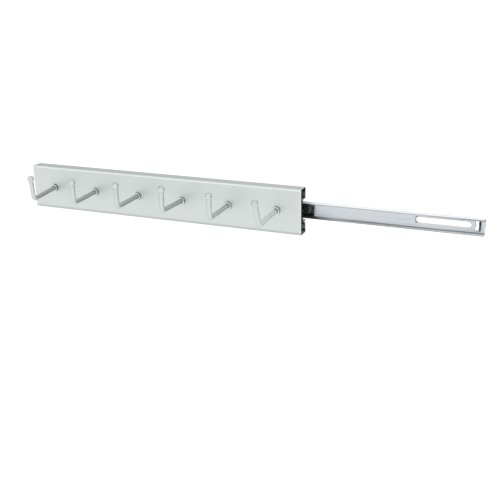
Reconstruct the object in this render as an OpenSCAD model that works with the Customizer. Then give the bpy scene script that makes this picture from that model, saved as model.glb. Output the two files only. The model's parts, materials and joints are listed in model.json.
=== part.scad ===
// Sliding belt rack: a bar of six hooks on a ball-bearing slide, whose rail is screwed to a wardrobe side.
// The origin is the middle of the rail's back face, on the wall. X runs along the rack, Y points into
// the wall and Z points up. The rack is drawn pulled out to the left, as it stands in use.
// All sizes are in millimetres.

/* [Cover] */
// Length of the cover
cover_len = 356; // [340:1:420]
// Height of the cover
cover_h = 52.5; // [46:0.5:70]
// Depth of the cover from its front face to its back lips
cover_depth = 15; // [14:0.5:17]
// Wall of the cover
cover_wall = 1.5; // [1.2:0.1:2]
// Outer radius of the cover's long edges
cover_corner_r = 0.6; // [0.4:0.1:2]
// Inner radius of the cover's long edges
cover_inner_r = 0.4; // [0.3:0.1:2]
// How far the back lips curl towards the front
lip_curl = 3; // [1:0.5:4]
// Gap between the cover's back and the wall
wall_gap = 5.4; // [5:0.1:6.5]

/* [Hooks] */
// Distance from the cover's end to the nearest hook
hook_inset = 29.5; // [20:0.5:50]
// Reach of a hook from the cover's face to the middle of its upright
hook_reach = 46.5; // [35:0.5:70]
// Rise from the arm's centre line to the middle of the tip ball
hook_rise = 25; // [18:0.5:40]
// Diameter of the hook's rod
rod_d = 5.2; // [5:0.1:6]
// Diameter of the ball on the hook's tip
tip_d = 7.8; // [6.5:0.1:10]
// Centre-line radius of the hook's bend
bend_r = 3.6; // [3.2:0.1:6]
// Diameter of the collar at the hook's foot
collar_d = 9.2; // [8:0.1:12]
// Thickness of the collar
collar_t = 2; // [1:0.1:3]

/* [Slide] */
// Height of the wall rail
rail_h = 17.4; // [16.8:0.1:20]
// Depth of the wall rail
rail_depth = 10; // [9.6:0.1:10.4]
// Sheet of the rail and of the outer member
sheet = 1.2; // [1:0.05:1.3]
// Diameter of a bearing ball
ball_d = 4.76; // [4.6:0.02:5]
// Depth of the ball groove in the rail
rail_groove = 0.9; // [0.6:0.05:1.1]
// Depth of the ball groove in the outer member
outer_groove = 0.5; // [0.3:0.05:0.8]
// Length of the ball cage
cage_len = 120; // [90:1:130]
// Distance between neighbouring balls
ball_pitch = 9.6; // [8:0.1:14]
// How far the rail shows beside the cover when the rack is pulled out
pull_out = 195; // [185:1:205]

/* [Wall slots] */
// Length of a screw slot in the rail, end to end
slot_len = 58; // [20:1:60]
// Height of a screw slot
slot_h = 6.5; // [4.5:0.1:8]
// Distance from the rail's end to the middle of a slot
slot_inset = 43; // [42:1:60]

/* [Hidden] */

$fn = 48;

// One overrun serves every cut
over = 1;
// Clearance between sliding sheets, between a pin and its hole, and of a swaged or seated piece
run_gap = 0.4;
pin_gap = 0.08;
seat_gap = 0.05;
// Clearance all round a bearing ball
ball_gap = 0.12;

// Hooks: six places, and the small angles at which each one was screwed home and bent
hook_total = 6;
hook_pitch = (cover_len - 2 * hook_inset) / (hook_total - 1);
hook_turns = [-2, 0.5, -1, 0, -0.5, -8];
hook_droops = [2, 1.4, 0, -1.4, 1.9, 4.5];
hook_leans = [4, 1.4, 1.3, 0, -0.4, -2.8];
rod_r = rod_d / 2;
tip_r = tip_d / 2;
shank_d = 4.8;
shank_r = shank_d / 2;
collar_bevel = 0.5;
collar_gap = 0.3;
foot_gap = 0.3;
washer_d = 10;
washer_t = 1;
nut_flats = 8;
nut_t = 3;
nut_sides = 6;
shank_past_nut = 0.7;

// Rail, measured from the wall
rail_bend_r = 1.8;
rail_front = -rail_depth;
end_room = 10;
cover_past_rail = 4;
rail_len = cover_len - cover_past_rail - end_room;
rail_right = rail_len / 2;
travel = pull_out + cover_past_rail;

// Stop tab lanced from the rail's web near each end, and the window that it leaves
stop_tab_inset = 6.2;
stop_tab_reach = 4;
stop_tab_h = 11;
stop_waist_r = 4;
stop_waist_depth = 0.9;

// Ball rows
ball_r = ball_d / 2;
groove_r = ball_r + ball_gap;
ball_z = rail_h / 2 - rail_groove + groove_r;

// Outer member, measured from the rail
cage_t = 0.6;
outer_web_back = rail_front - run_gap - cage_t - run_gap;
outer_web_front = outer_web_back - sheet;
outer_h = 2 * (ball_z + groove_r - outer_groove + sheet);
outer_wall_room = 2.2;
outer_back = -outer_wall_room;
outer_bend_r = 2;
outer_inset = 1;
ball_y = (rail_front + outer_back) / 2;

// Cover, measured from the wall and from the rail's right end
cover_back = -wall_gap;
cover_front = cover_back - cover_depth;
cover_inside = cover_front + cover_wall;
cover_right = rail_right - pull_out;
cover_left = cover_right - cover_len;
lip_gap = 0.7;
lip_z = ball_z + groove_r + sheet + lip_gap;
outer_left = cover_left + outer_inset;
outer_right = cover_right - outer_inset;
first_hook = cover_left + hook_inset;

// Standoffs that carry the outer member on the cover, and their screws
standoff_total = 4;
standoff_left_inset = 18;
standoff_right_inset = 6;
standoff_r = 4.8;
standoff_foot_r = 2.8;
standoff_foot_t = 0.8;
standoff_seat = cover_inside - standoff_foot_t;
standoff_pitch = (cover_len - standoff_left_inset - standoff_right_inset) / (standoff_total - 1);
screw_r = 2;
screw_head_r = screw_r + sheet;
screw_reach = 4.5;
thread_gap = 0.05;
thread_end = outer_web_front - screw_reach - thread_gap;

// Latch tab lanced from the outer member's web
latch_tab_inset = 6.5;
latch_tab_reach = 3.3;
latch_tab_low = 3.9;
latch_tab_high = 6.2;
latch_left = outer_right - latch_tab_inset - sheet;
latch_tip = outer_web_back + latch_tab_reach;

// Release lever in the rail's channel
lever_len = 44;
lever_gap = 0.3;
lever_back = -sheet - lever_gap;
lever_plate_t = 1.8;
lever_plate_h = 9;
lever_tail = 7;
lever_boss_r = 4.2;
lever_boss_t = 5.5;
lever_rib_h = 3;
lever_rib_t = 4.4;
nose_len = 6;
nose_low = -2;
nose_high = 4.8;
nose_front = rail_front + run_gap + seat_gap;
nose_right = latch_left - lever_gap;
pivot_x = nose_right - lever_len;
finger_front = latch_tip + run_gap;
finger_low = -3.9;
finger_high = 6.1;
finger_show = 6.4;
finger_gap = 1.7;
finger_end = 8.4;
finger_wall = 1.3;
finger_curve_r = 5;
finger_drop = 1.8;
neck_h = 3.6;
rivet_r = 2;
rivet_head_r = 3.1;
rivet_head_t = 0.9;
rivet_foot_r = 3;

// Bumper that the rail's left end meets when the rack is home
bumper_h = 13;
bumper_clear = 0.4;
bumper_back = outer_back - sheet;
bumper_peg_r = 1.6;
bumper_cap_r = 2.6;
bumper_cap_t = 1;
bumper_end_room = 0.5;
bumper_left = outer_left + bumper_end_room;
bumper_right = -rail_right - travel - bumper_clear;

// Cage
cage_mid = (outer_right - rail_right) / 2;
cage_end_room = 7;
cage_strip_front = outer_web_back + run_gap;
cage_strip_back = ball_y + groove_r + sheet;
ball_count = 1 + floor((cage_len - 2 * cage_end_room) / ball_pitch);
ball_first = cage_mid - (ball_count - 1) * ball_pitch / 2;

steel = [0.78, 0.8, 0.82];
nickel = [0.74, 0.76, 0.74];
satin = [0.83, 0.85, 0.84];
black = [0.07, 0.07, 0.08];

function hook_x(i) = first_hook + (i - 1) * hook_pitch;
function standoff_x(i) = cover_left + standoff_left_inset + i * standoff_pitch;

// A rectangle from low to high with round corners, built of squares and circles
module round_box(low, high, r) {
    translate([low[0] + r, low[1]]) square([high[0] - low[0] - 2 * r, high[1] - low[1]]);
    translate([low[0], low[1] + r]) square([high[0] - low[0], high[1] - low[1] - 2 * r]);
    for (x = [low[0] + r, high[0] - r], y = [low[1] + r, high[1] - r]) translate([x, y]) circle(r = r);
}

// Sweeps a section drawn in Y and Z along X, from left to right
module along_x(left, right) {
    translate([left, 0, 0]) rotate([90, 0, 90]) linear_extrude(height = right - left) children();
}

// A cylinder along Y from front to back, at x and z
module along_y(x, front, back, z, r) {
    translate([x, back, z]) rotate([90, 0, 0]) cylinder(r = r, h = back - front);
}

// Cover: a C-shaped profile with curled lips
module cover_section() {
    difference() {
        round_box([cover_front, -cover_h / 2], [cover_back, cover_h / 2], cover_corner_r);
        round_box(
            [cover_inside, cover_wall - cover_h / 2],
            [cover_back - cover_wall, cover_h / 2 - cover_wall],
            cover_inner_r
        );
        translate([cover_back - cover_wall - over, -lip_z]) square([cover_wall + 2 * over, 2 * lip_z]);
    }
    for (side = [-1, 1]) translate([0, side * (lip_z + cover_wall / 2)]) {
        translate([cover_back - cover_wall - lip_curl, -cover_wall / 2])
            square([lip_curl + seat_gap, cover_wall]);
        translate([cover_back - cover_wall - lip_curl, 0]) circle(r = cover_wall / 2);
    }
}

module face_cover() {
    color(satin) difference() {
        along_x(cover_left, cover_right) cover_section();
        for (i = [1:hook_total])
            along_y(hook_x(i), cover_front - over, cover_inside + over, 0, shank_r + pin_gap);
        for (i = [0:standoff_total - 1])
            along_y(standoff_x(i), standoff_seat, cover_inside + over, 0, standoff_foot_r + seat_gap);
    }
}

// Hook: threaded shank, rod bent upwards by a right angle and a ball tip. The shank runs on into the rod,
// which starts just clear of the cover so that it can lean a little inside the collar, down or sideways.
module hook(i) {
    arm = hook_reach - bend_r;
    upright = hook_rise - bend_r;
    shank = cover_wall + washer_t + nut_t + shank_past_nut;
    color(nickel) translate([hook_x(i), cover_front, 0]) {
        along_y(0, -collar_t, shank, 0, shank_r);
        rotate([hook_droops[i - 1], hook_turns[i - 1], hook_leans[i - 1]]) {
            along_y(0, -arm, -foot_gap, 0, rod_r);
            translate([0, -arm, bend_r]) {
                rotate([180, 90, 0]) rotate_extrude(angle = 90) translate([bend_r, 0]) circle(r = rod_r);
                translate([0, -bend_r, 0]) {
                    cylinder(r = rod_r, h = upright);
                    translate([0, 0, upright]) sphere(r = tip_r);
                }
            }
        }
    }
}

module hook_collar(i) {
    color(nickel) translate([hook_x(i), cover_front, 0]) rotate([90, 0, 0]) rotate_extrude() polygon([
        [rod_r + collar_gap, 0],
        [collar_d / 2, 0],
        [collar_d / 2, collar_t - collar_bevel],
        [collar_d / 2 - collar_bevel, collar_t],
        [rod_r + collar_gap, collar_t]
    ]);
}

module hook_washers() {
    color(steel) for (i = [1:hook_total]) difference() {
        along_y(hook_x(i), cover_inside, cover_inside + washer_t, 0, washer_d / 2);
        along_y(hook_x(i), cover_inside - over, cover_inside + washer_t + over, 0, shank_r + pin_gap);
    }
}

module hook_nuts() {
    nut_front = cover_inside + washer_t;
    color(steel) for (i = [1:hook_total]) difference() {
        translate([hook_x(i), nut_front + nut_t, 0]) rotate([90, 0, 0])
            cylinder(r = nut_flats / 2 / cos(180 / nut_sides), h = nut_t, $fn = nut_sides);
        along_y(hook_x(i), nut_front - over, nut_front + nut_t + over, 0, shank_r + thread_gap);
    }
}

// Outer member: a C-shaped steel section that rides on the balls, screwed to the standoffs
module outer_section() {
    difference() {
        union() {
            round_box(
                [outer_web_front, -outer_h / 2],
                [outer_back + outer_bend_r, outer_h / 2],
                outer_bend_r
            );
            for (side = [-1, 1]) translate([ball_y, side * ball_z]) circle(r = groove_r + sheet);
        }
        round_box(
            [outer_web_back, sheet - outer_h / 2],
            [outer_back + 2 * outer_bend_r, outer_h / 2 - sheet],
            outer_bend_r - sheet
        );
        for (side = [-1, 1]) translate([ball_y, side * ball_z]) circle(r = groove_r);
        translate([outer_back, -outer_h]) square([2 * outer_bend_r, 2 * outer_h]);
    }
}

module slide_outer_member() {
    latch_h = latch_tab_high - latch_tab_low;
    color(steel) {
        difference() {
            along_x(outer_left, outer_right) outer_section();
            for (i = [0:standoff_total - 1]) translate([standoff_x(i), outer_web_back, 0]) rotate([90, 0, 0])
                cylinder(r1 = screw_head_r + seat_gap, r2 = screw_r + seat_gap, h = sheet);
            along_y(bumper_x(), outer_web_front - over, outer_web_back + over, 0, bumper_peg_r + pin_gap);
            translate([latch_left - latch_tab_reach, outer_web_front - over, latch_tab_low])
                cube([latch_tab_reach, sheet + 2 * over, latch_h]);
        }
        translate([latch_left, outer_web_back - seat_gap, latch_tab_low])
            cube([sheet, latch_tab_reach + seat_gap, latch_h]);
    }
}

function bumper_x() = (bumper_left + bumper_right) / 2;

module slide_standoffs() {
    color(steel) for (i = [0:standoff_total - 1]) difference() {
        union() {
            along_y(standoff_x(i), cover_inside, outer_web_front, 0, standoff_r);
            along_y(standoff_x(i), standoff_seat, cover_inside + over, 0, standoff_foot_r);
        }
        along_y(standoff_x(i), thread_end, outer_web_front + over, 0, screw_r);
    }
}

module slide_screws() {
    color(steel) for (i = [0:standoff_total - 1]) {
        translate([standoff_x(i), outer_web_back, 0]) rotate([90, 0, 0])
            cylinder(r1 = screw_head_r, r2 = screw_r - thread_gap, h = sheet);
        along_y(standoff_x(i), outer_web_front - screw_reach, outer_web_front, 0, screw_r - thread_gap);
    }
}

module end_bumper() {
    cap_back = outer_web_front - seat_gap;
    color(black) {
        translate([bumper_left, outer_web_back + seat_gap, -bumper_h / 2])
            cube([bumper_right - bumper_left, bumper_back - outer_web_back - seat_gap, bumper_h]);
        along_y(bumper_x(), cap_back - seat_gap, outer_web_back + sheet, 0, bumper_peg_r);
        along_y(bumper_x(), cap_back - bumper_cap_t, cap_back, 0, bumper_cap_r);
    }
}

// Rail: a steel channel, web on the wall, with a ball groove along the outside of each flange
module rail_section() {
    difference() {
        union() {
            difference() {
                round_box([rail_front - rail_bend_r, -rail_h / 2], [0, rail_h / 2], rail_bend_r);
                round_box(
                    [rail_front - 2 * rail_bend_r, sheet - rail_h / 2],
                    [-sheet, rail_h / 2 - sheet],
                    rail_bend_r - sheet
                );
            }
            intersection() {
                round_box([rail_front - rail_bend_r, -rail_h / 2], [0, rail_h / 2], rail_bend_r);
                for (side = [-1, 1]) translate([ball_y, side * ball_z]) circle(r = groove_r + sheet);
            }
        }
        for (side = [-1, 1]) translate([ball_y, side * ball_z]) circle(r = groove_r);
        translate([rail_front - 2 * rail_bend_r - over, -rail_h])
            square([2 * rail_bend_r + over, 2 * rail_h]);
    }
}

// A slot through the rail's web, with round ends
module screw_slot(x) {
    half = (slot_len - slot_h) / 2;
    for (side = [-1, 1]) along_y(x + side * half, -sheet - over, over, 0, slot_h / 2);
    translate([x - half, -sheet - over, -slot_h / 2]) cube([2 * half, sheet + 2 * over, slot_h]);
}

// The outline of the stop tab, drawn from its root to its waisted free edge
module stop_tab_outline() {
    difference() {
        square([stop_tab_reach, stop_tab_h]);
        translate([stop_tab_reach + stop_waist_r - stop_waist_depth, stop_tab_h / 2])
            circle(r = stop_waist_r);
    }
}

module stop_window() {
    translate([rail_right - stop_tab_inset - stop_tab_reach, over, -stop_tab_h / 2])
        rotate([90, 0, 0]) linear_extrude(height = sheet + 2 * over)
            translate([stop_tab_reach, 0]) mirror([1, 0]) stop_tab_outline();
}

module stop_tab() {
    translate([rail_right - stop_tab_inset + sheet, -sheet + seat_gap, -stop_tab_h / 2])
        rotate([90, 0, -90]) linear_extrude(height = sheet) stop_tab_outline();
}

module wall_rail() {
    color(steel) {
        difference() {
            along_x(-rail_right, rail_right) rail_section();
            for (side = [-1, 1]) screw_slot(side * (rail_right - slot_inset));
            for (side = [0, 1]) mirror([side, 0, 0]) stop_window();
            translate([pivot_x, 0, 0]) rotate([90, 0, 0])
                cylinder(r1 = rivet_foot_r + seat_gap, r2 = rivet_r + seat_gap, h = sheet);
        }
        for (side = [0, 1]) mirror([side, 0, 0]) stop_tab();
    }
}

// Lever: a plate on a rivet, with the nose that holds the latch tab, a neck, and the finger that shows,
// which is a block and a curved rib on one foot
module lever_rib() {
    right = cover_right + finger_end;
    middle = (finger_low + finger_high) / 2;
    half = (finger_high - finger_low) / 2;
    for (side = [-1, 1]) intersection() {
        translate([right - finger_wall / 2 - side * finger_curve_r, middle + side * half / 2]) difference() {
            circle(r = finger_curve_r + finger_wall / 2);
            circle(r = finger_curve_r - finger_wall / 2);
        }
        translate([right - finger_curve_r / 2, side > 0 ? middle : finger_low])
            square([finger_curve_r, half]);
    }
}

module release_lever() {
    right = cover_right + finger_end - finger_wall / 2;
    block_right = cover_right + finger_end - finger_wall - finger_gap;
    block_left = block_right - finger_show;
    finger_h = finger_high - finger_low;
    color(black) difference() {
        union() {
            translate([pivot_x - lever_tail, lever_back - lever_plate_t, -lever_plate_h / 2])
                cube([lever_tail + lever_len, lever_plate_t, lever_plate_h]);
            translate([nose_right - nose_len, lever_back - lever_plate_t, -neck_h / 2])
                cube([block_right - nose_right + nose_len, lever_plate_t, neck_h]);
            translate([block_left, lever_back - lever_plate_t, finger_low])
                cube([right - block_left, lever_plate_t, finger_h]);
            translate([block_left, finger_front, finger_low])
                cube([finger_show, lever_back - finger_front, finger_h]);
            along_y(pivot_x, lever_back - lever_boss_t, lever_back, 0, lever_boss_r);
            translate([pivot_x, lever_back - lever_rib_t, -lever_rib_h / 2])
                cube([lever_len, lever_rib_t, lever_rib_h]);
            translate([nose_right - nose_len, nose_front, nose_low])
                cube([nose_len, lever_back - nose_front, nose_high - nose_low]);
            translate([0, lever_back, 0]) rotate([90, 0, 0])
                linear_extrude(height = lever_back - finger_front - finger_drop) lever_rib();
        }
        along_y(pivot_x, lever_back - lever_boss_t - over, over, 0, rivet_r + pin_gap);
    }
}

module lever_rivet() {
    neck = lever_back - lever_boss_t - lever_gap;
    color(steel) {
        translate([pivot_x, 0, 0]) rotate([90, 0, 0]) cylinder(r1 = rivet_foot_r, r2 = rivet_r, h = sheet);
        along_y(pivot_x, neck - seat_gap, -sheet, 0, rivet_r);
        along_y(pivot_x, neck - rivet_head_t, neck, 0, rivet_head_r);
    }
}

// Cage: a C-shaped strip with a hole for each ball
module cage_section() {
    top = ball_z + cage_t / 2;
    translate([cage_strip_front, -top]) square([cage_t, 2 * top]);
    for (side = [-1, 1]) translate([cage_strip_front, side * ball_z - cage_t / 2])
        square([cage_strip_back - cage_strip_front, cage_t]);
}

module ball_cage() {
    color(steel) difference() {
        along_x(cage_mid - cage_len / 2, cage_mid + cage_len / 2) cage_section();
        for (i = [0:ball_count - 1], side = [-1, 1])
            translate([ball_first + i * ball_pitch, ball_y, side * ball_z - cage_t])
                cylinder(r = ball_r + ball_gap, h = 2 * cage_t);
    }
}

module ball_row(side) {
    color(steel) for (i = [0:ball_count - 1])
        translate([ball_first + i * ball_pitch, ball_y, side * ball_z]) sphere(r = ball_r);
}

face_cover();
hook(1);  // hook_1
hook(2);  // hook_2
hook(3);  // hook_3
hook(4);  // hook_4
hook(5);  // hook_5
hook(6);  // hook_6
hook_collar(1);  // hook_collar_1
hook_collar(2);  // hook_collar_2
hook_collar(3);  // hook_collar_3
hook_collar(4);  // hook_collar_4
hook_collar(5);  // hook_collar_5
hook_collar(6);  // hook_collar_6
hook_washers();
hook_nuts();
slide_outer_member();
slide_standoffs();
slide_screws();
end_bumper();
wall_rail();
release_lever();
lever_rivet();
ball_cage();
ball_row(1);  // upper_balls
ball_row(-1);  // lower_balls
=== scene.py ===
"""Looks of the sliding belt rack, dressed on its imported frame. Every length is in metres."""

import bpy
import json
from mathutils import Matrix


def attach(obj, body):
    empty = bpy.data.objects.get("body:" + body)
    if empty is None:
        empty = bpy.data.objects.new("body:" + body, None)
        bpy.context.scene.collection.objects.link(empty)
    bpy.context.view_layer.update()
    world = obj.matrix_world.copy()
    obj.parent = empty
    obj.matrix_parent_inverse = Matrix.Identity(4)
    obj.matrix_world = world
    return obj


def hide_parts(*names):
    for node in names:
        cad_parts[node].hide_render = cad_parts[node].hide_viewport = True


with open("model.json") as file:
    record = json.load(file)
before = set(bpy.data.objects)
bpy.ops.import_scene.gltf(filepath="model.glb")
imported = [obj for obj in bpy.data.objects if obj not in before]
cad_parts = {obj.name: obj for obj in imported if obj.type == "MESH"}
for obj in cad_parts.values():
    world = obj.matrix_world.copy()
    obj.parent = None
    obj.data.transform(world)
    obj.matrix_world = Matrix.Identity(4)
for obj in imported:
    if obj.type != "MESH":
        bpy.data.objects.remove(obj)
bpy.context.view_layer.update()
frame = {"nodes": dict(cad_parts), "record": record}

import json
import logging
import math
from dataclasses import dataclass
from enum import Enum

import bmesh
import bpy
import numpy as np
from mathutils import Matrix

log = logging.getLogger("belt_rack")

Point = tuple[float, float, float]
Colour = tuple[float, float, float]
Socket = bpy.types.NodeSocket
Value = object

MM = 0.001
FULL_TURN = 2.0 * math.pi
# Points of a new piece that lie closer than this are joined
WELD = 0.002 * MM
# Socket types of the shared node groups
NUMBER = "NodeSocketFloat"
VECTOR = "NodeSocketVector"


class Body(Enum):
    """The bodies of the rack that new pieces ride on."""

    WALL = "wall_side"
    RACK = "rack"


class Slot(Enum):
    """The record's material slots."""

    COVER = "cover_satin"
    HOOK = "hook_nickel"
    SLIDE = "slide_zinc"
    FASTENER = "fastener_zinc"
    BALL = "ball_steel"
    LEVER = "lever_plastic"
    BUMPER = "bumper_rubber"


def rgba(colour: Colour) -> tuple[float, float, float, float]:
    """Returns a colour with full alpha."""
    return (*colour, 1.0)


class Tree:
    """Adds nodes to one node tree and wires them."""

    def __init__(self, tree: bpy.types.NodeTree) -> None:
        """Starts with the given tree, emptied.

        Args:
            tree: The node tree that takes the nodes.
        """
        self.tree = tree
        tree.nodes.clear()

    def _feed(self, socket: Socket, value: Value) -> None:
        """Wires a socket, or sets a plain value on it.

        Args:
            socket: The input.
            value: Another node's socket, or the value.
        """
        if isinstance(value, Socket):
            self.tree.links.new(value, socket)
        else:
            socket.default_value = value

    def add(self, kind: str, inputs: dict | None = None, **settings: Value) -> bpy.types.Node:
        """Adds one node.

        Args:
            kind: The node's type name.
            inputs: Values or sockets for the node's inputs, by name or number.
            **settings: Attributes of the node.

        Returns:
            The new node.
        """
        node = self.tree.nodes.new(kind)
        for name, value in settings.items():
            setattr(node, name, value)
        for name, value in (inputs or {}).items():
            self._feed(node.inputs[name], value)
        return node

    def calc(self, operation: str, first: Value, second: Value = 0.0, third: Value = 0.0) -> Socket:
        """Adds a Math node.

        Args:
            operation: The node's operation.
            first: The first value or socket.
            second: The second value or socket.
            third: The third value or socket.

        Returns:
            The result's socket.
        """
        inputs = {0: first, 1: second, 2: third}
        return self.add("ShaderNodeMath", inputs, operation=operation).outputs[0]

    def vector(self, operation: str, first: Value, second: Value = (0.0, 0.0, 0.0)) -> bpy.types.Node:
        """Adds a Vector Math node.

        Args:
            operation: The node's operation.
            first: The first vector or socket.
            second: The second vector or socket.

        Returns:
            The node.
        """
        return self.add("ShaderNodeVectorMath", {0: first, 1: second}, operation=operation)

    def noise(self, place: Socket, scale: Value, detail: float, roughness: float) -> Socket:
        """Adds a noise texture.

        Args:
            place: Where it is read.
            scale: How fine it is.
            detail: How many finer octaves it has.
            roughness: How strong those are.

        Returns:
            The socket of its value, from zero to one.
        """
        inputs = {"Vector": place, "Scale": scale, "Detail": detail, "Roughness": roughness}
        return self.add("ShaderNodeTexNoise", inputs).outputs[0]

    def spread(
        self, value: Value, low: float, high: float, to_low: float = 0.0, to_high: float = 1.0
    ) -> Socket:
        """Maps a value from one range to another and clamps it there.

        Args:
            value: The socket to map.
            low: The lower end of the old range.
            high: The upper end of the old range.
            to_low: What the lower end becomes.
            to_high: What the upper end becomes.

        Returns:
            The mapped value's socket.
        """
        inputs = {0: value, 1: low, 2: high, 3: to_low, 4: to_high}
        return self.add("ShaderNodeMapRange", inputs).outputs[0]

    def blend(self, share: Value, first: Value, second: Value) -> Socket:
        """Mixes two colours.

        Args:
            share: How much of the second colour shows.
            first: The colour at share zero.
            second: The colour at share one.

        Returns:
            The mixed colour's socket.
        """
        node = self.add("ShaderNodeMix", data_type="RGBA")
        for name, value in (("Factor_Float", share), ("A_Color", first), ("B_Color", second)):
            self._feed(next(s for s in node.inputs if s.identifier == name), value)
        return next(s for s in node.outputs if s.identifier == "Result_Color")

    def effect(self, group: bpy.types.NodeTree, inputs: dict | None = None) -> bpy.types.NodeOutputs:
        """Places one of the shared groups.

        Args:
            group: The group.
            inputs: Values or sockets for its inputs, by name.

        Returns:
            Its outputs.
        """
        return self.add("ShaderNodeGroup", inputs, node_tree=group).outputs


class Effects:
    """The shader node groups that several finishes share, each built once.

    Attributes:
        lines: Lengthwise lines.
        marks: Handling marks.
        edge: Soft edges, with masks for the highlight and shade painted on them.
        recess: The shade painted in recesses.
        turn: Masks for the way a face looks.
        patch: The mask of one place.
    """

    def __init__(self) -> None:
        """Builds every group."""
        self.lines = self._drawn_lines()
        self.marks = self._handling_marks()
        self.edge = self._edge_catch()
        self.recess = self._recess_shade()
        self.turn = self._face_turn()
        self.patch = self._local_patch()

    @staticmethod
    def _group(name: str, inputs: dict[str, tuple[str, Value]], outputs: dict[str, str]) -> Tree:
        """Makes an empty group with its named sockets.

        Args:
            name: The group's name.
            inputs: Each input's socket type and default, by name.
            outputs: Each output's socket type, by name.

        Returns:
            The group's tree, ready for nodes.
        """
        group = bpy.data.node_groups.new(name, "ShaderNodeTree")
        for label, (kind, default) in inputs.items():
            socket = group.interface.new_socket(label, in_out="INPUT", socket_type=kind)
            if default is not None:
                socket.default_value = default
        for label, kind in outputs.items():
            group.interface.new_socket(label, in_out="OUTPUT", socket_type=kind)
        return Tree(group)

    def _drawn_lines(self) -> bpy.types.NodeTree:
        """Builds the lengthwise lines that brushing, drawing or rolling leaves.

        Noise is read at x over Length and y and z over Width, so that it stretches into lines along X.
        Height is a coarse and a fine noise added up, and Lines is the same with more contrast.

        Returns:
            The group.
        """
        coarse_share, fine_share, fine_scale = 0.6, 0.4, 3.1
        contrast = (0.35, 0.65)
        tree = self._group(
            "drawn_lines",
            {"Vector": (VECTOR, None), "Length": (NUMBER, 0.04), "Width": (NUMBER, 0.0003)},
            {"Lines": NUMBER, "Height": NUMBER},
        )
        entry = tree.add("NodeGroupInput").outputs
        parts = tree.add("ShaderNodeSeparateXYZ", {0: entry["Vector"]}).outputs
        sizes = (entry["Length"], entry["Width"], entry["Width"])
        scaled = [tree.calc("DIVIDE", part, size) for part, size in zip(parts, sizes)]
        place = tree.add("ShaderNodeCombineXYZ", dict(enumerate(scaled))).outputs[0]
        coarse = tree.noise(place, scale=1.0, detail=3.0, roughness=0.6)
        fine = tree.noise(place, scale=fine_scale, detail=2.0, roughness=0.5)
        coarse_part = tree.calc("MULTIPLY", coarse, coarse_share)
        mixed = tree.calc("ADD", coarse_part, tree.calc("MULTIPLY", fine, fine_share))
        tree.add("NodeGroupOutput", {"Lines": tree.spread(mixed, *contrast), "Height": mixed})
        return tree.tree

    def _handling_marks(self) -> bpy.types.NodeTree:
        """Builds soft patches where fingers and cloths have been.

        A wide noise chooses the patches and a fine one breaks them up. Their product is the mask.

        Returns:
            The group.
        """
        fine_scale, faintest = 9.0, 0.4
        chosen, broken_up = (0.42, 0.68), (0.25, 0.75)
        tree = self._group(
            "handling_marks", {"Vector": (VECTOR, None), "Size": (NUMBER, 0.05)}, {"Mask": NUMBER}
        )
        entry = tree.add("NodeGroupInput").outputs
        scale = tree.calc("DIVIDE", 1.0, entry["Size"])
        wide = tree.noise(entry["Vector"], scale, detail=2.0, roughness=0.5)
        small_scale = tree.calc("MULTIPLY", scale, fine_scale)
        small = tree.noise(entry["Vector"], small_scale, detail=4.0, roughness=0.6)
        patches = tree.spread(wide, *chosen)
        broken = tree.spread(small, *broken_up, faintest, 1.0)
        tree.add("NodeGroupOutput", {"Mask": tree.calc("MULTIPLY", patches, broken)})
        return tree.tree

    def _edge_catch(self) -> bpy.types.NodeTree:
        """Builds the soft edge that every real sheet and moulding has.

        The normal is averaged within Radius, and the edge grows as it turns away from the face's own.
        Edges that face up or sideways and those that face down get separate masks, for the highlight and
        shade painted on them.

        Returns:
            The group.
        """
        flat, turned = 0.998, 0.93
        low_rise, high_rise = -0.35, -0.05
        tree = self._group(
            "edge_catch",
            {"Radius": (NUMBER, 0.0002)},
            {"Normal": VECTOR, "PaintedUpEdge": NUMBER, "PaintedDownEdge": NUMBER},
        )
        entry = tree.add("NodeGroupInput").outputs
        soft = tree.add("ShaderNodeBevel", {"Radius": entry["Radius"]}, samples=6).outputs[0]
        face = tree.add("ShaderNodeNewGeometry").outputs["Normal"]
        turn = tree.vector("DOT_PRODUCT", soft, face).outputs["Value"]
        edge = tree.spread(turn, flat, turned)
        rise = tree.add("ShaderNodeSeparateXYZ", {0: soft}).outputs[2]
        painted_up_edge = tree.calc("MULTIPLY", edge, tree.spread(rise, low_rise, high_rise))
        painted_down_edge = tree.calc("MULTIPLY", edge, tree.spread(rise, high_rise, low_rise))
        tree.add("NodeGroupOutput", {"Normal": soft, "PaintedUpEdge": painted_up_edge, "PaintedDownEdge": painted_down_edge})
        return tree.tree

    def _recess_shade(self) -> bpy.types.NodeTree:
        """Builds the shade painted where sheets and rods crowd together.

        The mask grows as the open share of the half sphere within Reach falls below Open. It is full
        once that share has lost seven tenths of Open.

        Returns:
            The group.
        """
        full = 0.7
        tree = self._group(
            "recess_painted_shade", {"Reach": (NUMBER, 0.01), "Open": (NUMBER, 0.75)}, {"Mask": NUMBER}
        )
        entry = tree.add("NodeGroupInput").outputs
        crowd = tree.add("ShaderNodeAmbientOcclusion", {"Distance": entry["Reach"]}, samples=8)
        lost = tree.calc("SUBTRACT", entry["Open"], crowd.outputs["AO"])
        shut = tree.calc("DIVIDE", lost, entry["Open"])
        tree.add("NodeGroupOutput", {"Mask": tree.spread(shut, 0.0, full)})
        return tree.tree

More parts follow.
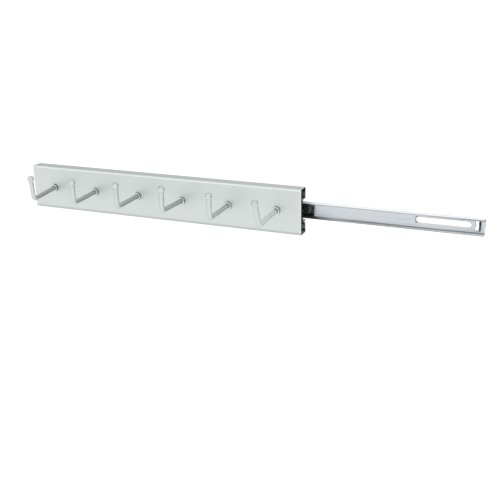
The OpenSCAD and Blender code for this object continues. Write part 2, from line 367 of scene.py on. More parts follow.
    def _face_turn(self) -> bpy.types.NodeTree:
        """Builds masks for the shade painted on the sawn ends and sides and the highlight on faces that
        look up.

        End grows as the normal turns along X, Up as it turns along Z, and Side as it turns off Y.

        Returns:
            The group.
        """
        end_fade, up_fade, side_fade = (0.8, 0.98), (0.5, 0.95), (0.2, 0.6)
        tree = self._group("face_turn", {}, {"End": NUMBER, "Up": NUMBER, "Side": NUMBER})
        normal = tree.add("ShaderNodeNewGeometry").outputs["True Normal"]
        parts = tree.add("ShaderNodeSeparateXYZ", {0: normal}).outputs
        tree.add("NodeGroupOutput", {
            "End": tree.spread(tree.calc("ABSOLUTE", parts[0]), *end_fade),
            "Up": tree.spread(parts[2], *up_fade),
            "Side": tree.spread(tree.calc("ABSOLUTE", parts[1]), *side_fade, 1.0, 0.0),
        })
        return tree.tree

    def _local_patch(self) -> bpy.types.NodeTree:
        """Builds the mask of one place where light or shade is painted.

        Along each axis the mask is one within Half of Centre and falls to zero over Soft. The three
        multiply.

        Returns:
            The group.
        """
        names = ("Vector", "Centre", "Half", "Soft")
        tree = self._group("local_patch", {name: (VECTOR, None) for name in names}, {"Mask": NUMBER})
        entry = tree.add("NodeGroupInput").outputs
        offset = tree.vector("SUBTRACT", entry["Vector"], entry["Centre"]).outputs[0]
        away = tree.vector("ABSOLUTE", offset).outputs[0]
        past = tree.vector("SUBTRACT", away, entry["Half"]).outputs[0]
        faded = tree.vector("DIVIDE", past, entry["Soft"]).outputs[0]
        parts = tree.add("ShaderNodeSeparateXYZ", {0: faded}).outputs
        near = [tree.spread(part, 0.0, 1.0, 1.0, 0.0) for part in parts]
        mask = tree.calc("MULTIPLY", tree.calc("MULTIPLY", near[0], near[1]), near[2])
        tree.add("NodeGroupOutput", {"Mask": mask})
        return tree.tree


@dataclass(frozen=True)
class Patch:
    """One place where light or shade is painted into a finish.

    Attributes:
        colour: The painted colour.
        centre: Its middle.
        half: How far it reaches to each side.
        soft: How far it then fades out.
        share: How much of it shows.
    """

    colour: Colour
    centre: Point
    half: Point
    soft: Point
    share: float


@dataclass(frozen=True)
class PaintedLayer:
    """Light or shade painted over the bare surface.

    Attributes:
        mask: The socket that says where it lies.
        share: How much of it shows there.
        colour: Its colour.
    """

    mask: Socket
    share: float
    colour: Colour


@dataclass(frozen=True)
class Finish:
    """A finish with lengthwise lines, handling marks, soft edges, and painted light and shade.

    Attributes:
        name: The material's name.
        colour: The main colour, linear.
        dark: The colour at the bottom of the lines.
        metallic: The shader's metallic value where no film lies.
        rough: Roughness at the smoothest and at the roughest place.
        line_length: How long the lines run.
        line_width: How wide they are.
        line_depth: How deep they look.
        mark_size: The size of the handling marks.
        edge_radius: The radius of the soft edge.
        edge_colour: The colour painted on edges that face up or sideways, a highlight where light, a
            shade where dark.
        painted_down_edge_shade: The shade painted on an edge that faces down.
        edge_share: How much of those two colours shows.
        end_colour: The shade painted on its sawn ends.
        end_share: How much of that shade shows.
        painted_top_light: The highlight painted on faces that look up.
        painted_top_light_share: How much of that highlight shows.
        side_colour: The shade painted on the sides, which look neither to the front nor to the wall.
        side_share: How much of that shade shows.
        painted_recess_shade: The shade painted in its recesses.
        painted_recess_share: How much of that shade shows.
        painted_recess_reach: How far apart surfaces still get it.
        painted_recess_open: The open share below which it starts.
        patches: The places where light or shade is painted on it, the lowest first.
        specular: The shader's specular level.
        rim: The tint of a reflection that grazes the surface.
    """

    name: str
    colour: Colour
    dark: Colour
    metallic: float = 1.0
    rough: tuple[float, float] = (0.3, 0.42)
    line_length: float = 0.03
    line_width: float = 0.0003
    line_depth: float = 0.00001
    mark_size: float = 0.05
    edge_radius: float = 0.0002
    edge_colour: Colour = (0.9, 0.9, 0.9)
    painted_down_edge_shade: Colour = (0.5, 0.5, 0.5)
    edge_share: float = 0.3
    end_colour: Colour = (0.02, 0.02, 0.02)
    end_share: float = 0.0
    painted_top_light: Colour = (0.9, 0.9, 0.9)
    painted_top_light_share: float = 0.0
    side_colour: Colour = (0.05, 0.055, 0.05)
    side_share: float = 0.0
    painted_recess_shade: Colour = (0.02, 0.021, 0.02)
    painted_recess_share: float = 0.9
    painted_recess_reach: float = 0.012
    painted_recess_open: float = 0.7
    patches: tuple[Patch, ...] = ()
    specular: float = 0.5
    rim: Colour = (1.0, 1.0, 1.0)

    def _painted_layers(self, tree: Tree, place: Socket, effects: Effects) -> list[PaintedLayer]:
        """Lists the light and shade painted over the bare surface.

        Args:
            tree: The material's tree.
            place: The socket of the place on the piece.
            effects: The shared node groups.

        Returns:
            The painted layers that show, the lowest first.
        """
        turn = tree.effect(effects.turn)
        recess = tree.effect(effects.recess, {"Reach": self.painted_recess_reach, "Open": self.painted_recess_open})
        painted_layers = [
            PaintedLayer(turn["Up"], self.painted_top_light_share, self.painted_top_light),
            PaintedLayer(turn["End"], self.end_share, self.end_colour),
            PaintedLayer(turn["Side"], self.side_share, self.side_colour),
            PaintedLayer(recess["Mask"], self.painted_recess_share, self.painted_recess_shade),
        ]
        for patch in self.patches:
            inputs = {"Vector": place, "Centre": patch.centre, "Half": patch.half, "Soft": patch.soft}
            painted_layers.append(PaintedLayer(tree.effect(effects.patch, inputs)["Mask"], patch.share, patch.colour))
        return [painted_layer for painted_layer in painted_layers if painted_layer.share > 0.0]

    def _bare(self, tree: Tree, lines: Socket, edge: bpy.types.NodeOutputs) -> Socket:
        """Colours the bare surface with its lines and the highlight and shade painted on its edges.

        Args:
            tree: The material's tree.
            lines: The socket of the lines.
            edge: The outputs of the soft edge.

        Returns:
            The colour's socket.
        """
        colour = tree.blend(lines, rgba(self.dark), rgba(self.colour))
        for name, edge_colour in (("PaintedUpEdge", self.edge_colour), ("PaintedDownEdge", self.painted_down_edge_shade)):
            share = tree.calc("MULTIPLY", edge[name], self.edge_share)
            colour = tree.blend(share, colour, rgba(edge_colour))
        return colour

    def _roughness(self, tree: Tree, lines: Socket, marks: Socket) -> Socket:
        """Works out the roughness, from the lines and the handling marks in equal parts.

        Args:
            tree: The material's tree.
            lines: The socket of the lines.
            marks: The socket of the marks.

        Returns:
            The roughness's socket.
        """
        smooth, coarse = self.rough
        halves = [tree.calc("MULTIPLY", part, 0.5) for part in (lines, marks)]
        return tree.calc("MULTIPLY_ADD", tree.calc("ADD", *halves), coarse - smooth, smooth)

    def build(self, effects: Effects) -> bpy.types.Material:
        """Builds the material.

        Args:
            effects: The shared node groups.

        Returns:
            The finished material.
        """
        material = bpy.data.materials.new(self.name)
        material.use_nodes = True
        material.diffuse_color = rgba(self.colour)
        tree = Tree(material.node_tree)
        place = tree.add("ShaderNodeTexCoord").outputs["Object"]
        lines = tree.effect(
            effects.lines, {"Vector": place, "Length": self.line_length, "Width": self.line_width}
        )
        marks = tree.effect(effects.marks, {"Vector": place, "Size": self.mark_size})
        edge = tree.effect(effects.edge, {"Radius": self.edge_radius})
        colour, metallic = self._bare(tree, lines["Lines"], edge), self.metallic
        for painted_layer in self._painted_layers(tree, place, effects):
            share = tree.calc("MULTIPLY", painted_layer.mask, painted_layer.share)
            colour = tree.blend(share, colour, rgba(painted_layer.colour))
            if self.metallic > 0.0:
                metallic = tree.calc("MULTIPLY", metallic, tree.calc("SUBTRACT", 1.0, share))
        bump = tree.add("ShaderNodeBump", {
            "Strength": 1.0,
            "Distance": self.line_depth,
            "Height": lines["Height"],
            "Normal": edge["Normal"],
        })
        shader = tree.add("ShaderNodeBsdfPrincipled", {
            "Base Color": colour,
            "Metallic": metallic,
            "Roughness": self._roughness(tree, lines["Lines"], marks["Mask"]),
            "Normal": bump.outputs[0],
            "Specular IOR Level": self.specular,
            "Specular Tint": rgba(self.rim),
        })
        tree.add("ShaderNodeOutputMaterial", {"Surface": shader.outputs[0]})
        return material


# The colours of painted light and shade, linear
# Painted deep shade, near black, in hollows and on faces in shadow
PAINTED_DEEP_SHADE = (0.025, 0.027, 0.025)
# Painted shade under and round the hooks' arms
PAINTED_ARM_SHADE = (0.08, 0.09, 0.085)
# Painted pale light on the rail's web, and painted highlight on the ball tips
PAINTED_PALE_LIGHT = (0.80, 0.83, 0.86)
# Painted light on the arms of the right hooks
PAINTED_ARM_LIGHT = (0.72, 0.76, 0.74)
# Painted highlight on the front's upper and right edges
PAINTED_EDGE_HIGHLIGHT = (0.70, 0.74, 0.72)
# Painted shade along the front's lower edge
PAINTED_EDGE_SHADE = (0.36, 0.40, 0.38)
SHADOW_FILM = (0.13, 0.14, 0.145)
LIP_LIGHT = (0.22, 0.225, 0.21)
FINGER_LIGHT = (0.2, 0.22, 0.23)

COVER_PATCHES = (
    # Painted shade inside the open end, and painted light on the inner faces of its lower and upper lips
    Patch(PAINTED_DEEP_SHADE, (-0.034, -0.0128, 0.0), (0.012, 0.006, 0.0246), (0.004, 0.0002, 0.0002), 1.0),
    Patch(LIP_LIGHT, (-0.03, -0.0074, -0.018), (0.008, 0.0018, 0.0034), (0.004, 0.0006, 0.001), 0.9),
    Patch(LIP_LIGHT, (-0.03, -0.0074, 0.018), (0.008, 0.0018, 0.0026), (0.004, 0.0006, 0.001), 0.5),
    # Painted highlight on the front's upper and right edges, and painted shade along its lower edge
    Patch(PAINTED_EDGE_HIGHLIGHT, (-0.202, -0.0212, 0.026), (0.177, 0.0009, 0.0014), (0.001, 0.0003, 0.0007), 1.0),
    Patch(PAINTED_EDGE_HIGHLIGHT, (-0.024, -0.0212, 0.0), (0.0008, 0.0009, 0.0245), (0.0005, 0.0003, 0.001), 0.8),
    Patch(PAINTED_EDGE_SHADE, (-0.202, -0.0212, -0.0264), (0.177, 0.0009, 0.0016), (0.001, 0.0003, 0.0024), 0.65),
)
HOOK_PATCHES = (
    # Painted shade under the arms of the left hooks, and thinly all round them
    Patch(PAINTED_ARM_SHADE, (-0.265, -0.043, -0.0024), (0.13, 0.018, 0.0012), (0.03, 0.006, 0.004), 0.62),
    Patch(PAINTED_ARM_SHADE, (-0.26, -0.043, 0.0), (0.13, 0.021, 0.003), (0.05, 0.004, 0.001), 0.12),
    # Painted highlight on the fronts of the ball tips, and painted light on the arms of the right hooks
    Patch(PAINTED_PALE_LIGHT, (-0.2, -0.0712, 0.0258), (0.2, 0.0014, 0.001), (0.01, 0.0012, 0.0012), 0.2),
    Patch(PAINTED_ARM_LIGHT, (-0.05, -0.045, 0.0), (0.01, 0.019, 0.003), (0.075, 0.004, 0.001), 0.4),
)
SLIDE_PATCHES = (
    # Painted light low on the rail's web
    Patch(PAINTED_PALE_LIGHT, (0.0, -0.004, -0.0062), (0.3, 0.004, 0.0025), (0.01, 0.001, 0.003), 1.0),
    # Painted shade along the lower flange's rim, deep beside the lever
    Patch(PAINTED_DEEP_SHADE, (-0.1, -0.0095, -0.0085), (0.15, 0.0015, 0.0012), (0.12, 0.001, 0.0008), 0.35),
    Patch(PAINTED_DEEP_SHADE, (-0.02, -0.0095, -0.0085), (0.006, 0.006, 0.0018), (0.03, 0.001, 0.0008), 1.0),
    # The dark run along the rail's floor, and the same near its right end and on its upper rim
    Patch(SHADOW_FILM, (0.1, -0.0062, -0.0074), (0.072, 0.0017, 0.0013), (0.04, 0.001, 0.0004), 0.82),
    Patch(SHADOW_FILM, (0.165, -0.0036, -0.0074), (0.01, 0.0014, 0.0013), (0.03, 0.0008, 0.0004), 0.7),
    Patch(SHADOW_FILM, (0.165, -0.0097, 0.0082), (0.012, 0.0007, 0.0008), (0.04, 0.0004, 0.0004), 0.5),
    # The slot's left end
    Patch(SHADOW_FILM, (0.1, -0.0006, 0.0), (0.0012, 0.0008, 0.0034), (0.0008, 0.0002, 0.0006), 0.7),
    # Painted shade on the stop tab's left face
    Patch(PAINTED_DEEP_SHADE, (0.1655, -0.003, 0.0), (0.001, 0.004, 0.0052), (0.0004, 0.001, 0.0004), 0.85),
    # Painted shade of the lever in the rail's channel above and below it
    Patch(PAINTED_DEEP_SHADE, (-0.023, -0.0058, 0.0068), (0.005, 0.0046, 0.0012), (0.005, 0.0002, 0.0003), 0.9),
    Patch(PAINTED_DEEP_SHADE, (-0.0225, -0.0058, -0.0062), (0.0065, 0.0046, 0.0025), (0.002, 0.0002, 0.0004), 1.0),
    # Painted shade on the outer member's web, where it shows in the cover's open end
    Patch(PAINTED_DEEP_SHADE, (-0.04, -0.0128, 0.0), (0.018, 0.0006, 0.015), (0.004, 0.0002, 0.0002), 1.0),
)
LEVER_PATCHES = (
    # Painted highlight on the side of the lever's finger
    Patch(FINGER_LIGHT, (-0.0178, -0.006, 0.0011), (0.0009, 0.01, 0.0042), (0.0001, 0.001, 0.0006), 0.9),
)

FINISHES = {
    # Painted highlight on its upper edges, painted shade on its lower edges, sawn ends and recesses
    Slot.COVER: Finish(
        "cover_satin_aluminium", (0.655, 0.70, 0.68), (0.60, 0.64, 0.62), rough=(0.48, 0.58),
        line_length=0.05, line_width=0.00028, line_depth=0.000006,
        edge_radius=0.0006, edge_colour=(0.9, 0.92, 0.91), edge_share=1.0, painted_down_edge_shade=(0.27, 0.30, 0.29),
        end_share=1.0, painted_recess_open=0.45, painted_recess_reach=0.01, specular=0.0, patches=COVER_PATCHES,
    ),
    # Faint painted highlight on its edges, painted shade in its recesses
    Slot.HOOK: Finish(
        "hook_satin_nickel", (0.59, 0.625, 0.61), (0.572, 0.604, 0.59), rough=(0.27, 0.31),
        line_length=0.006, line_width=0.0006, line_depth=0.0000001,
        painted_recess_shade=(0.16, 0.175, 0.17), painted_recess_share=0.1, painted_recess_reach=0.02, painted_recess_open=0.65,
        rim=(0.5, 0.55, 0.53), patches=HOOK_PATCHES,
    ),
    # Painted shade on its edges and sawn ends, painted highlight on faces that look up
    Slot.SLIDE: Finish(
        "slide_zinc_plate", (0.62, 0.655, 0.685), (0.57, 0.605, 0.635), rough=(0.34, 0.46),
        line_length=0.04, line_width=0.0004, line_depth=0.000004,
        edge_radius=0.0014, edge_colour=(0.36, 0.39, 0.40), edge_share=0.7, painted_down_edge_shade=(0.2, 0.22, 0.22),
        end_share=0.9, painted_top_light=(0.92, 0.94, 0.95), painted_top_light_share=0.75, painted_recess_share=0.0,
        specular=0.0, patches=SLIDE_PATCHES,
    ),
    # Faint painted highlight on its edges, painted shade in its recesses
    Slot.FASTENER: Finish(
        "fastener_zinc_plate", (0.60, 0.635, 0.62), (0.52, 0.55, 0.54), rough=(0.2, 0.3),
        line_length=0.002, line_width=0.001, line_depth=0.000002,
        painted_recess_shade=(0.05, 0.055, 0.05), painted_recess_open=0.72, painted_recess_reach=0.004, rim=(0.3, 0.34, 0.33),
    ),
    # Faint painted highlight on its edges, painted shade in its recesses
    Slot.BALL: Finish(
        "ball_polished_steel", (0.8, 0.8, 0.82), (0.76, 0.76, 0.78), rough=(0.06, 0.12),
        line_length=0.002, line_width=0.001, line_depth=0.0000005, painted_recess_share=0.3,
    ),
    # Faint painted highlight on its edges
    Slot.LEVER: Finish(
        "lever_black_plastic", (0.020, 0.022, 0.023), (0.008, 0.008, 0.009), metallic=0.0,
        line_length=0.0006, line_width=0.0005, edge_colour=(0.03, 0.03, 0.032),
        specular=0.15, painted_recess_share=0.0, patches=LEVER_PATCHES,
    ),
    # Faint painted highlight on its edges
    Slot.BUMPER: Finish(
        "bumper_black_rubber", (0.012, 0.012, 0.012), (0.007, 0.007, 0.007), metallic=0.0,
        rough=(0.6, 0.8), line_length=0.0008, line_width=0.0006, edge_colour=(0.03, 0.03, 0.03),
    ),
}
# The collars are of the hooks' slot, but turned, with painted shade on their sides and in their recesses
COLLAR_FINISH = Finish(
    "collar_turned_nickel", (0.68, 0.72, 0.70), (0.62, 0.66, 0.64), rough=(0.3, 0.4),
    line_length=0.002, line_width=0.0006, line_depth=0.000002, edge_radius=0.0003,
    painted_recess_shade=(0.1, 0.11, 0.105), painted_recess_share=0.8, painted_recess_reach=0.003, painted_recess_open=0.6,
    side_colour=(0.03, 0.035, 0.032), side_share=0.95, specular=0.0,
)


@dataclass(frozen=True)
class PhotoCamera:
    """The camera that the photograph was taken with, fitted to the part's corners.

    Attributes:
        focal: Focal length in pixels of the photograph.
        yaw: Turn to the left of the Y axis, in degrees.
        pitch: Tilt downwards, in degrees.
        roll: Turn about the line of sight, in degrees.
        place: Where it stands.
        frame: The photograph's width in pixels.
        sensor: The sensor's width in millimetres.
        near: The nearest distance that it sees.
        far: The farthest distance that it sees.
    """

    focal: float = 811.2
    yaw: float = 23.27
    pitch: float = 19.82
    roll: float = -1.22
    place: Point = (0.2611, -0.8279, 0.2661)
    frame: float = 500.0
    sensor: float = 36.0
    near: float = 0.01
    far: float = 200.0

    def build(self) -> bpy.types.Object:
        """Sets the camera up and makes it the scene's own.

        Returns:
            The camera's object.
        """
        a, b, c = (math.radians(v) for v in (self.yaw, self.pitch, self.roll))
        forward = np.array([-math.sin(a) * math.cos(b), math.cos(a) * math.cos(b), -math.sin(b)])
        right = np.array([math.cos(a), math.sin(a), 0.0])
        up = np.cross(right, forward)
        right, up = right * math.cos(c) + up * math.sin(c), up * math.cos(c) - right * math.sin(c)
        data = bpy.data.cameras.new("photo_camera")
        data.sensor_width = self.sensor
        data.lens = self.focal / self.frame * self.sensor
        data.clip_start = self.near
        data.clip_end = self.far
        camera = bpy.data.objects.new("photo_camera", data)
        bpy.context.scene.collection.objects.link(camera)
        axes = np.stack([right, up, -forward], axis=1)
        camera.matrix_world = Matrix.Translation(self.place) @ Matrix(axes.tolist()).to_4x4()
        bpy.context.scene.camera = camera
        return camera


@dataclass(frozen=True)
class Studio:
    """A plain pale floor under a soft sky, with a wide lamp overhead that reflections don't show.

    Attributes:
        floor_z: The floor's height.
        floor_half: Half of its width.
        floor_colour: Its colour, linear.
        floor_rough: Its roughness.
        sky_back: The sky low behind the rack.
        sky_left: The same, far to the left.
        sky_front: The sky low on the camera's side.
        sky_top: The sky overhead.
        left_fade: Between which x of the direction the left turns into the back.
        back_fade: Between which y of the direction the front turns into the back.
        top_fade: Between which z of the direction the low sky turns into the top.
        backdrop: What the camera itself sees beyond the floor.
        lamp: The strength of the lamp.
        lamp_angle: How wide it looks from the rack, in degrees.
    """

    floor_z: float = -0.6
    floor_half: float = 60.0
    floor_colour: Colour = (0.92, 0.92, 0.92)
    floor_rough: float = 0.9
    sky_back: Colour = (0.72, 0.72, 0.72)
    sky_left: Colour = (0.45, 0.45, 0.45)
    sky_front: Colour = (1.02, 1.02, 1.02)
    sky_top: Colour = (1.05, 1.05, 1.05)
    left_fade: tuple[float, float] = (-0.75, -0.2)
    back_fade: tuple[float, float] = (-0.1, 0.3)
    top_fade: tuple[float, float] = (0.45, 0.85)
    backdrop: Colour = (1.0, 1.0, 1.0)
    lamp: float = 1.0
    lamp_angle: float = 120.0

    def _sky(self) -> None:
        """Builds the sky, whose colour goes with the x, y and z of the direction."""
        world = bpy.data.worlds.new("studio")
        bpy.context.scene.world = world
        world.use_nodes = True
        tree = Tree(world.node_tree)
        direction = tree.add("ShaderNodeTexCoord").outputs["Generated"]
        x, y, z = tree.add("ShaderNodeSeparateXYZ", {0: direction}).outputs
        leftness = tree.spread(x, *self.left_fade, 1.0, 0.0)
        back = tree.blend(leftness, rgba(self.sky_back), rgba(self.sky_left))
        low = tree.blend(tree.spread(y, *self.back_fade), rgba(self.sky_front), back)
        sky = tree.blend(tree.spread(z, *self.top_fade), low, rgba(self.sky_top))
        camera_ray = tree.add("ShaderNodeLightPath").outputs["Is Camera Ray"]
        seen = tree.blend(camera_ray, sky, rgba(self.backdrop))
        light = tree.add("ShaderNodeBackground", {"Color": seen, "Strength": 1.0})
        tree.add("ShaderNodeOutputWorld", {"Surface": light.outputs[0]})

    def _lamp(self) -> None:
        """Hangs the lamp, a very wide sun that no reflection shows."""
        data = bpy.data.lights.new("overhead_lamp", "SUN")
        data.energy = self.lamp
        data.angle = math.radians(self.lamp_angle)
        lamp = bpy.data.objects.new("overhead_lamp", data)
        lamp.visible_glossy = False
        bpy.context.scene.collection.objects.link(lamp)

    def _floor(self) -> None:
        """Lays the floor."""
        mesh = bpy.data.meshes.new("floor")
        half = self.floor_half
        flat = [(-half, -half), (half, -half), (half, half), (-half, half)]
        mesh.from_pydata([(x, y, self.floor_z) for x, y in flat], [], [(0, 1, 2, 3)])
        floor = bpy.data.objects.new("floor", mesh)
        bpy.context.scene.collection.objects.link(floor)
        paint = bpy.data.materials.new("floor_paint")
        paint.use_nodes = True
        tree = Tree(paint.node_tree)
        shader = tree.add("ShaderNodeBsdfPrincipled", {
            "Base Color": rgba(self.floor_colour),
            "Roughness": self.floor_rough,
        })
        tree.add("ShaderNodeOutputMaterial", {"Surface": shader.outputs[0]})
        mesh.materials.append(paint)

    def build(self) -> None:
        """Builds the sky, the lamp, the floor and the colour handling."""
        self._sky()
        self._lamp()
        self._floor()
        scene = bpy.context.scene
        scene.view_settings.view_transform = "Standard"
        scene.view_settings.look = "None"


@dataclass(frozen=True)
class Shell:
    """A surface as arrays.

    Attributes:
        points: Its points, in rows of x, y and z.
        faces: Its faces, in rows of four point numbers.
    """

    points: np.ndarray
    faces: np.ndarray

    @staticmethod
    def grid(points: np.ndarray) -> "Shell":
        """Joins a grid of points into quads, closed round its second axis.

        Quad (i, j) joins points (i, j), (i + 1, j), (i + 1, j + 1) and (i, j + 1), with j + 1 taken
        round.

        Args:
            points: An array of rows by columns by three.

        Returns:
            The shell.
        """
        rows, columns = points.shape[:2]
        number = np.arange(rows * columns).reshape(rows, columns)
        beside = np.roll(number, -1, axis=1)
        faces = np.stack([number[:-1], number[1:], beside[1:], beside[:-1]], axis=-1)
        return Shell(points.reshape(-1, 3), faces.reshape(-1, 4))

    @staticmethod
    def joined(shells: list["Shell"]) -> "Shell":
        """Puts several shells into one.

        Args:
            shells: The shells.

        Returns:
            One shell with all their points and faces.
        """
        starts = np.cumsum([0] + [len(shell.points) for shell in shells[:-1]])
        faces = [shell.faces + start for shell, start in zip(shells, starts)]
        return Shell(np.concatenate([shell.points for shell in shells]), np.concatenate(faces))

    def moved(self, place: Point) -> "Shell":
        """Moves the shell.

        Args:
            place: How far it moves along each axis.

        Returns:
            The moved shell.
        """
        return Shell(self.points + np.array(place), self.faces)


def angles(columns: int) -> np.ndarray:
    """Returns the angles of the steps round an axis, from zero to just short of a full turn."""
    return np.linspace(0.0, FULL_TURN, columns, endpoint=False)


def clamped(values: np.ndarray) -> np.ndarray:
    """Returns the values, held between zero and one."""
    return np.clip(values, 0.0, 1.0)


def wound(radius: np.ndarray, y: np.ndarray, turn: np.ndarray) -> np.ndarray:
    """Places points round the Y axis.

    Point (i, j) is (r cos t, y, r sin t), with r and y from row i and t from column j.

    Args:
        radius: The radius, as a column or for every point.
        y: The y, as a column or for every point.
        turn: The angle of each column.

    Returns:
        An array of rows by columns by three.
    """
    return np.stack([radius * np.cos(turn), y + 0.0 * turn, radius * np.sin(turn)], axis=-1)


def revolved(profile: np.ndarray, columns: int) -> Shell:
    """Turns a profile round the Y axis.

    Args:
        profile: Rows of radius and y, from one pole to the other.
        columns: The number of steps round.

    Returns:
        The closed shell.
    """
    return Shell.grid(wound(profile[:, :1], profile[:, 1:], angles(columns)))


@dataclass(frozen=True)
class Piece:
    """A finished piece of the scene and where it belongs.

    Attributes:
        name: The piece's name.
        node: The CAD node that it stands for.
        body: The body that it rides on.
        slot: The record's material slot.
        crease: The angle in degrees above which an edge stays sharp.
    """

    name: str
    node: str
    body: Body
    slot: Slot
    crease: float = 38.0

    def make(self, shell: Shell, material: bpy.types.Material) -> bpy.types.Object:
        """Puts a shell into a mesh, closes its poles and hangs it on its body.

        Args:
            shell: The surface, in the shared frame.
            material: Its finish.

        Returns:
            The piece's object.
        """
        mesh = bpy.data.meshes.new(self.name)
        mesh.from_pydata(shell.points.tolist(), [], shell.faces.tolist())
        work = bmesh.new()
        work.from_mesh(mesh)
        bmesh.ops.remove_doubles(work, verts=work.verts, dist=WELD)
        bmesh.ops.recalc_face_normals(work, faces=work.faces)
        work.to_mesh(mesh)
        work.free()
        mesh.shade_smooth()
        mesh.set_sharp_from_angle(angle=math.radians(self.crease))
        mesh.materials.append(material)
        piece = bpy.data.objects.new(self.name, mesh)
        bpy.context.scene.collection.objects.link(piece)
        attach(piece, self.body.value)
        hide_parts(self.node)
        log.info("%s: %d faces, rides on %s", self.name, len(mesh.polygons), self.body.value)
        return piece


@dataclass(frozen=True)
class SlideScrews:
    """The four countersunk screws that hold the outer member, with a cross recess and a rolled thread.

    Attributes:
        places: The screws' places along X.
        head_y: The face of the head, which looks at the wall.
        head_r: The head's radius.
        head_t: The height of its cone.
        head_rows: Steps from the head's middle to its rim.
        shank_r: The radius over the thread.
        shank_rows: Steps along the shank.
        end_y: The end of the shank.
        thread_pitch: The thread's pitch.
        thread_depth: The thread's depth.
        thread_fade: How many times the run in which the thread fades goes into the shank's length.
        recess_reach: How far each arm of the recess reaches.
        recess_half: Half the width of an arm.
        recess_depth: The recess's depth.
        recess_flank: The share of that half which the arm's soft flank takes.
        columns: Steps round.
    """

    places: tuple[float, ...] = (-362.0 * MM, -251.33 * MM, -140.67 * MM, -30.0 * MM)
    head_y: float = -11.4 * MM
    head_r: float = 3.19 * MM
    head_t: float = 1.2 * MM
    head_rows: int = 30
    shank_r: float = 1.95 * MM
    shank_rows: int = 64
    end_y: float = -17.1 * MM
    thread_pitch: float = 0.7 * MM
    thread_depth: float = 0.32 * MM
    thread_fade: float = 12.0
    recess_reach: float = 2.1 * MM
    recess_half: float = 0.48 * MM
    recess_depth: float = 0.95 * MM
    recess_flank: float = 0.35
    columns: int = 96

    def _arm(self, along: np.ndarray, across: np.ndarray) -> np.ndarray:
        """Works out one arm of the recess.

        The share is (1 - |a| / R) ^ 0.5 where |b| is under the half width, with soft flanks.

        Args:
            along: The distance a along the arm.
            across: The distance b across it.

        Returns:
            The share of the recess's depth, from zero to one.
        """
        reach = clamped(1.0 - np.abs(along) / self.recess_reach) ** 0.5
        flank = (self.recess_half - np.abs(across)) / (self.recess_flank * self.recess_half)
        return reach * clamped(flank)

    def _head(self) -> np.ndarray:
        """Works out the head's face, which takes the deeper of the two arms at each point.

        Returns:
            Rows of points from the middle outwards.
        """
        turn = angles(self.columns)
        radius = np.linspace(0.0, 1.0, self.head_rows)[:, None] * self.head_r
        a, b = radius * np.cos(turn), radius * np.sin(turn)
        depth = np.maximum(self._arm(a, b), self._arm(b, a)) * self.recess_depth
        return wound(radius, self.head_y - depth, turn)

    def _shank(self) -> np.ndarray:
        """Works out the cone and the threaded shank.

        The radius at depth y and angle t is R - d (1 + cos(2 pi y / p + t)) / 2. The thread fades in
        below the cone and out before the end, where the radius goes down to R - d.

        Returns:
            Rows of points from the head's rim to the closed end.
        """
        turn = angles(self.columns)
        cone_y = self.head_y - self.head_t
        run = np.linspace(0.0, 1.0, self.shank_rows)[:, None]
        y = cone_y + (self.end_y - cone_y) * run
        wave = (1.0 + np.cos(FULL_TURN * y / self.thread_pitch + turn)) / 2.0
        fade = clamped(run * self.thread_fade) * clamped((1.0 - run) * self.thread_fade)
        taper = (1.0 - fade) * clamped(run * 2.0 - 1.0)
        thread = wound(self.shank_r - self.thread_depth * (fade * wave + taper), y, turn)
        close = thread[-1:] * np.array([0.0, 1.0, 0.0])
        return np.concatenate([thread, close])

    def build(self, material: bpy.types.Material) -> bpy.types.Object:
        """Builds the four screws as one piece.

        Args:
            material: The zinc finish.

        Returns:
            The piece's object.
        """
        screw = Shell.grid(np.concatenate([self._head(), self._shank()]))
        shells = [screw.moved((x, 0.0, 0.0)) for x in self.places]
        piece = Piece("countersunk_screws", "slide_screws", Body.RACK, Slot.FASTENER)
        return piece.make(Shell.joined(shells), material)


@dataclass(frozen=True)
class LeverRivet:
    """The rivet that the lever turns on, with a dimpled dome in front and a peened foot behind.

    Attributes:
        place_x: Its place along X.
        profile: Its radius and y, in millimetres, from the middle of the foot to the middle of the dome.
        columns: Steps round.
    """

    place_x: float = -77.0 * MM
    profile: tuple[tuple[float, float], ...] = (
        (0.0, -0.42), (0.5, -0.4), (0.85, -0.22), (1.1, -0.04), (1.3, 0.0), (2.7, 0.0),
        (2.95, -0.03), (2.97, -0.08), (2.0, -1.2), (2.0, -7.3), (2.9, -7.3), (3.06, -7.36),
        (3.1, -7.5), (3.06, -7.66), (2.8, -7.88), (2.4, -8.04), (1.9, -8.15), (1.4, -8.19),
        (1.1, -8.18), (0.85, -8.05), (0.55, -7.82), (0.25, -7.74), (0.0, -7.72),
    )
    columns: int = 64

    def build(self, material: bpy.types.Material) -> bpy.types.Object:
        """Builds the rivet, its profile turned round the Y axis.

        Args:
            material: The zinc finish.

        Returns:
            The piece's object.
        """
        shell = revolved(np.array(self.profile) * MM, self.columns).moved((self.place_x, 0.0, 0.0))
        return Piece("domed_rivet", "lever_rivet", Body.WALL, Slot.FASTENER).make(shell, material)


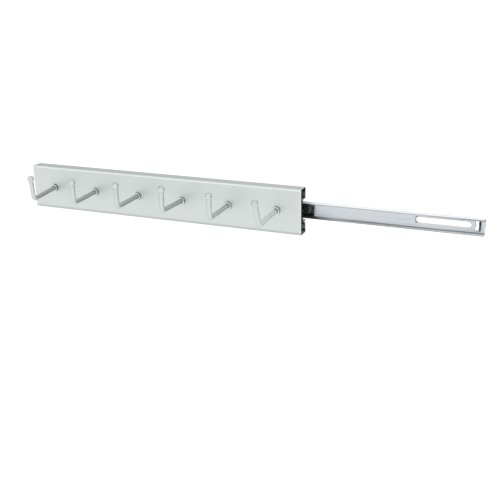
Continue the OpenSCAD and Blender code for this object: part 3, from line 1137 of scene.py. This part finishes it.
@dataclass(frozen=True)
class EndBumper:
    """The moulded rubber bumper, a soft-cornered block with ribs that the rail meets, on a capped peg.

    Attributes:
        low: The block's lowest corner.
        high: Its highest corner.
        power: How square the block is; smaller is squarer.
        rib_pitch: The ribs' pitch along Z.
        rib_depth: How deep the grooves between them are.
        front_rise: How steeply the grooves start towards the face that looks along +X.
        side_rise: How steeply they end towards the block's front and back.
        peg: The peg's and cap's radius and y, in millimetres, from the block to the cap's middle.
        peg_columns: Steps round the peg.
        rows: Steps from pole to pole.
        columns: Steps round the block.
    """

    low: Point = (-378.5 * MM, -11.35 * MM, -6.5 * MM)
    high: Point = (-370.4 * MM, -3.4 * MM, 6.5 * MM)
    power: float = 0.22
    rib_pitch: float = 2.17 * MM
    rib_depth: float = 0.55 * MM
    front_rise: float = 4.0
    side_rise: float = 5.0
    peg: tuple[tuple[float, float], ...] = (
        (0.0, -9.5), (1.6, -9.5), (1.6, -12.65), (2.45, -12.65), (2.58, -12.75), (2.58, -13.0),
        (2.3, -13.35), (1.6, -13.58), (0.8, -13.64), (0.0, -13.65),
    )
    peg_columns: int = 48
    rows: int = 96
    columns: int = 192

    def _raised(self, value: np.ndarray) -> np.ndarray:
        """Raises a sine or cosine to the block's power and keeps its sign.

        Args:
            value: The sines or cosines.

        Returns:
            The raised values.
        """
        return np.sign(value) * np.abs(value) ** self.power

    def _block(self) -> Shell:
        """Works out the block.

        Point (u, v) is the middle plus half the size times (C(u) C(v), S(u), C(u) S(v)), where C and S
        are the cosine and sine raised to the power with their sign kept. On the side that looks along +X,
        a cosine wave along Z is cut in.

        Returns:
            The closed block.
        """
        low, high = np.array(self.low), np.array(self.high)
        middle, half = (low + high) / 2.0, (high - low) / 2.0
        u = np.linspace(-np.pi / 2.0, np.pi / 2.0, self.rows)[:, None]
        v = angles(self.columns)
        across = self._raised(np.cos(u))
        unit = np.stack([
            across * self._raised(np.cos(v)),
            self._raised(np.sin(u)) + 0.0 * v,
            across * self._raised(np.sin(v)),
        ], axis=-1)
        points = middle + half * unit
        wave = (1.0 - np.cos(FULL_TURN * points[..., 2] / self.rib_pitch)) / 2.0
        front = clamped(unit[..., 0] * self.front_rise - (self.front_rise - 1.0))
        inner = clamped(self.side_rise * (1.0 - np.abs(unit[..., 1])))
        points[..., 0] -= self.rib_depth * wave * front * inner
        return Shell.grid(points)

    def build(self, material: bpy.types.Material) -> bpy.types.Object:
        """Builds the block and its peg as one piece.

        Args:
            material: The rubber finish.

        Returns:
            The piece's object.
        """
        middle = (self.low[0] + self.high[0]) / 2.0
        peg = revolved(np.array(self.peg) * MM, self.peg_columns).moved((middle, 0.0, 0.0))
        piece = Piece("ribbed_bumper", "end_bumper", Body.RACK, Slot.BUMPER)
        return piece.make(Shell.joined([self._block(), peg]), material)


def dress(node: bpy.types.Object, material: bpy.types.Material) -> None:
    """Gives every slot of a piece one material.

    Args:
        node: The piece.
        material: The material.
    """
    if not node.data.materials:
        node.data.materials.append(material)
    for index in range(len(node.data.materials)):
        node.data.materials[index] = material


def main() -> None:
    """Builds the camera, the studio and every piece in order."""
    logging.basicConfig(level=logging.INFO, format="%(name)s: %(message)s")
    PhotoCamera().build()
    Studio().build()
    effects = Effects()
    materials = {slot: finish.build(effects) for slot, finish in FINISHES.items()}
    collar = COLLAR_FINISH.build(effects)
    slots = {part["node"]: Slot(part["material_slot"]) for part in frame["record"]["subparts"]}
    for name, node in frame["nodes"].items():
        dress(node, collar if name.startswith("hook_collar") else materials[slots[name]])
        log.info("%s dressed in %s", name, slots[name].value)
    SlideScrews().build(materials[Slot.FASTENER])
    LeverRivet().build(materials[Slot.FASTENER])
    EndBumper().build(materials[Slot.BUMPER])


if __name__ == "__main__":
    main()
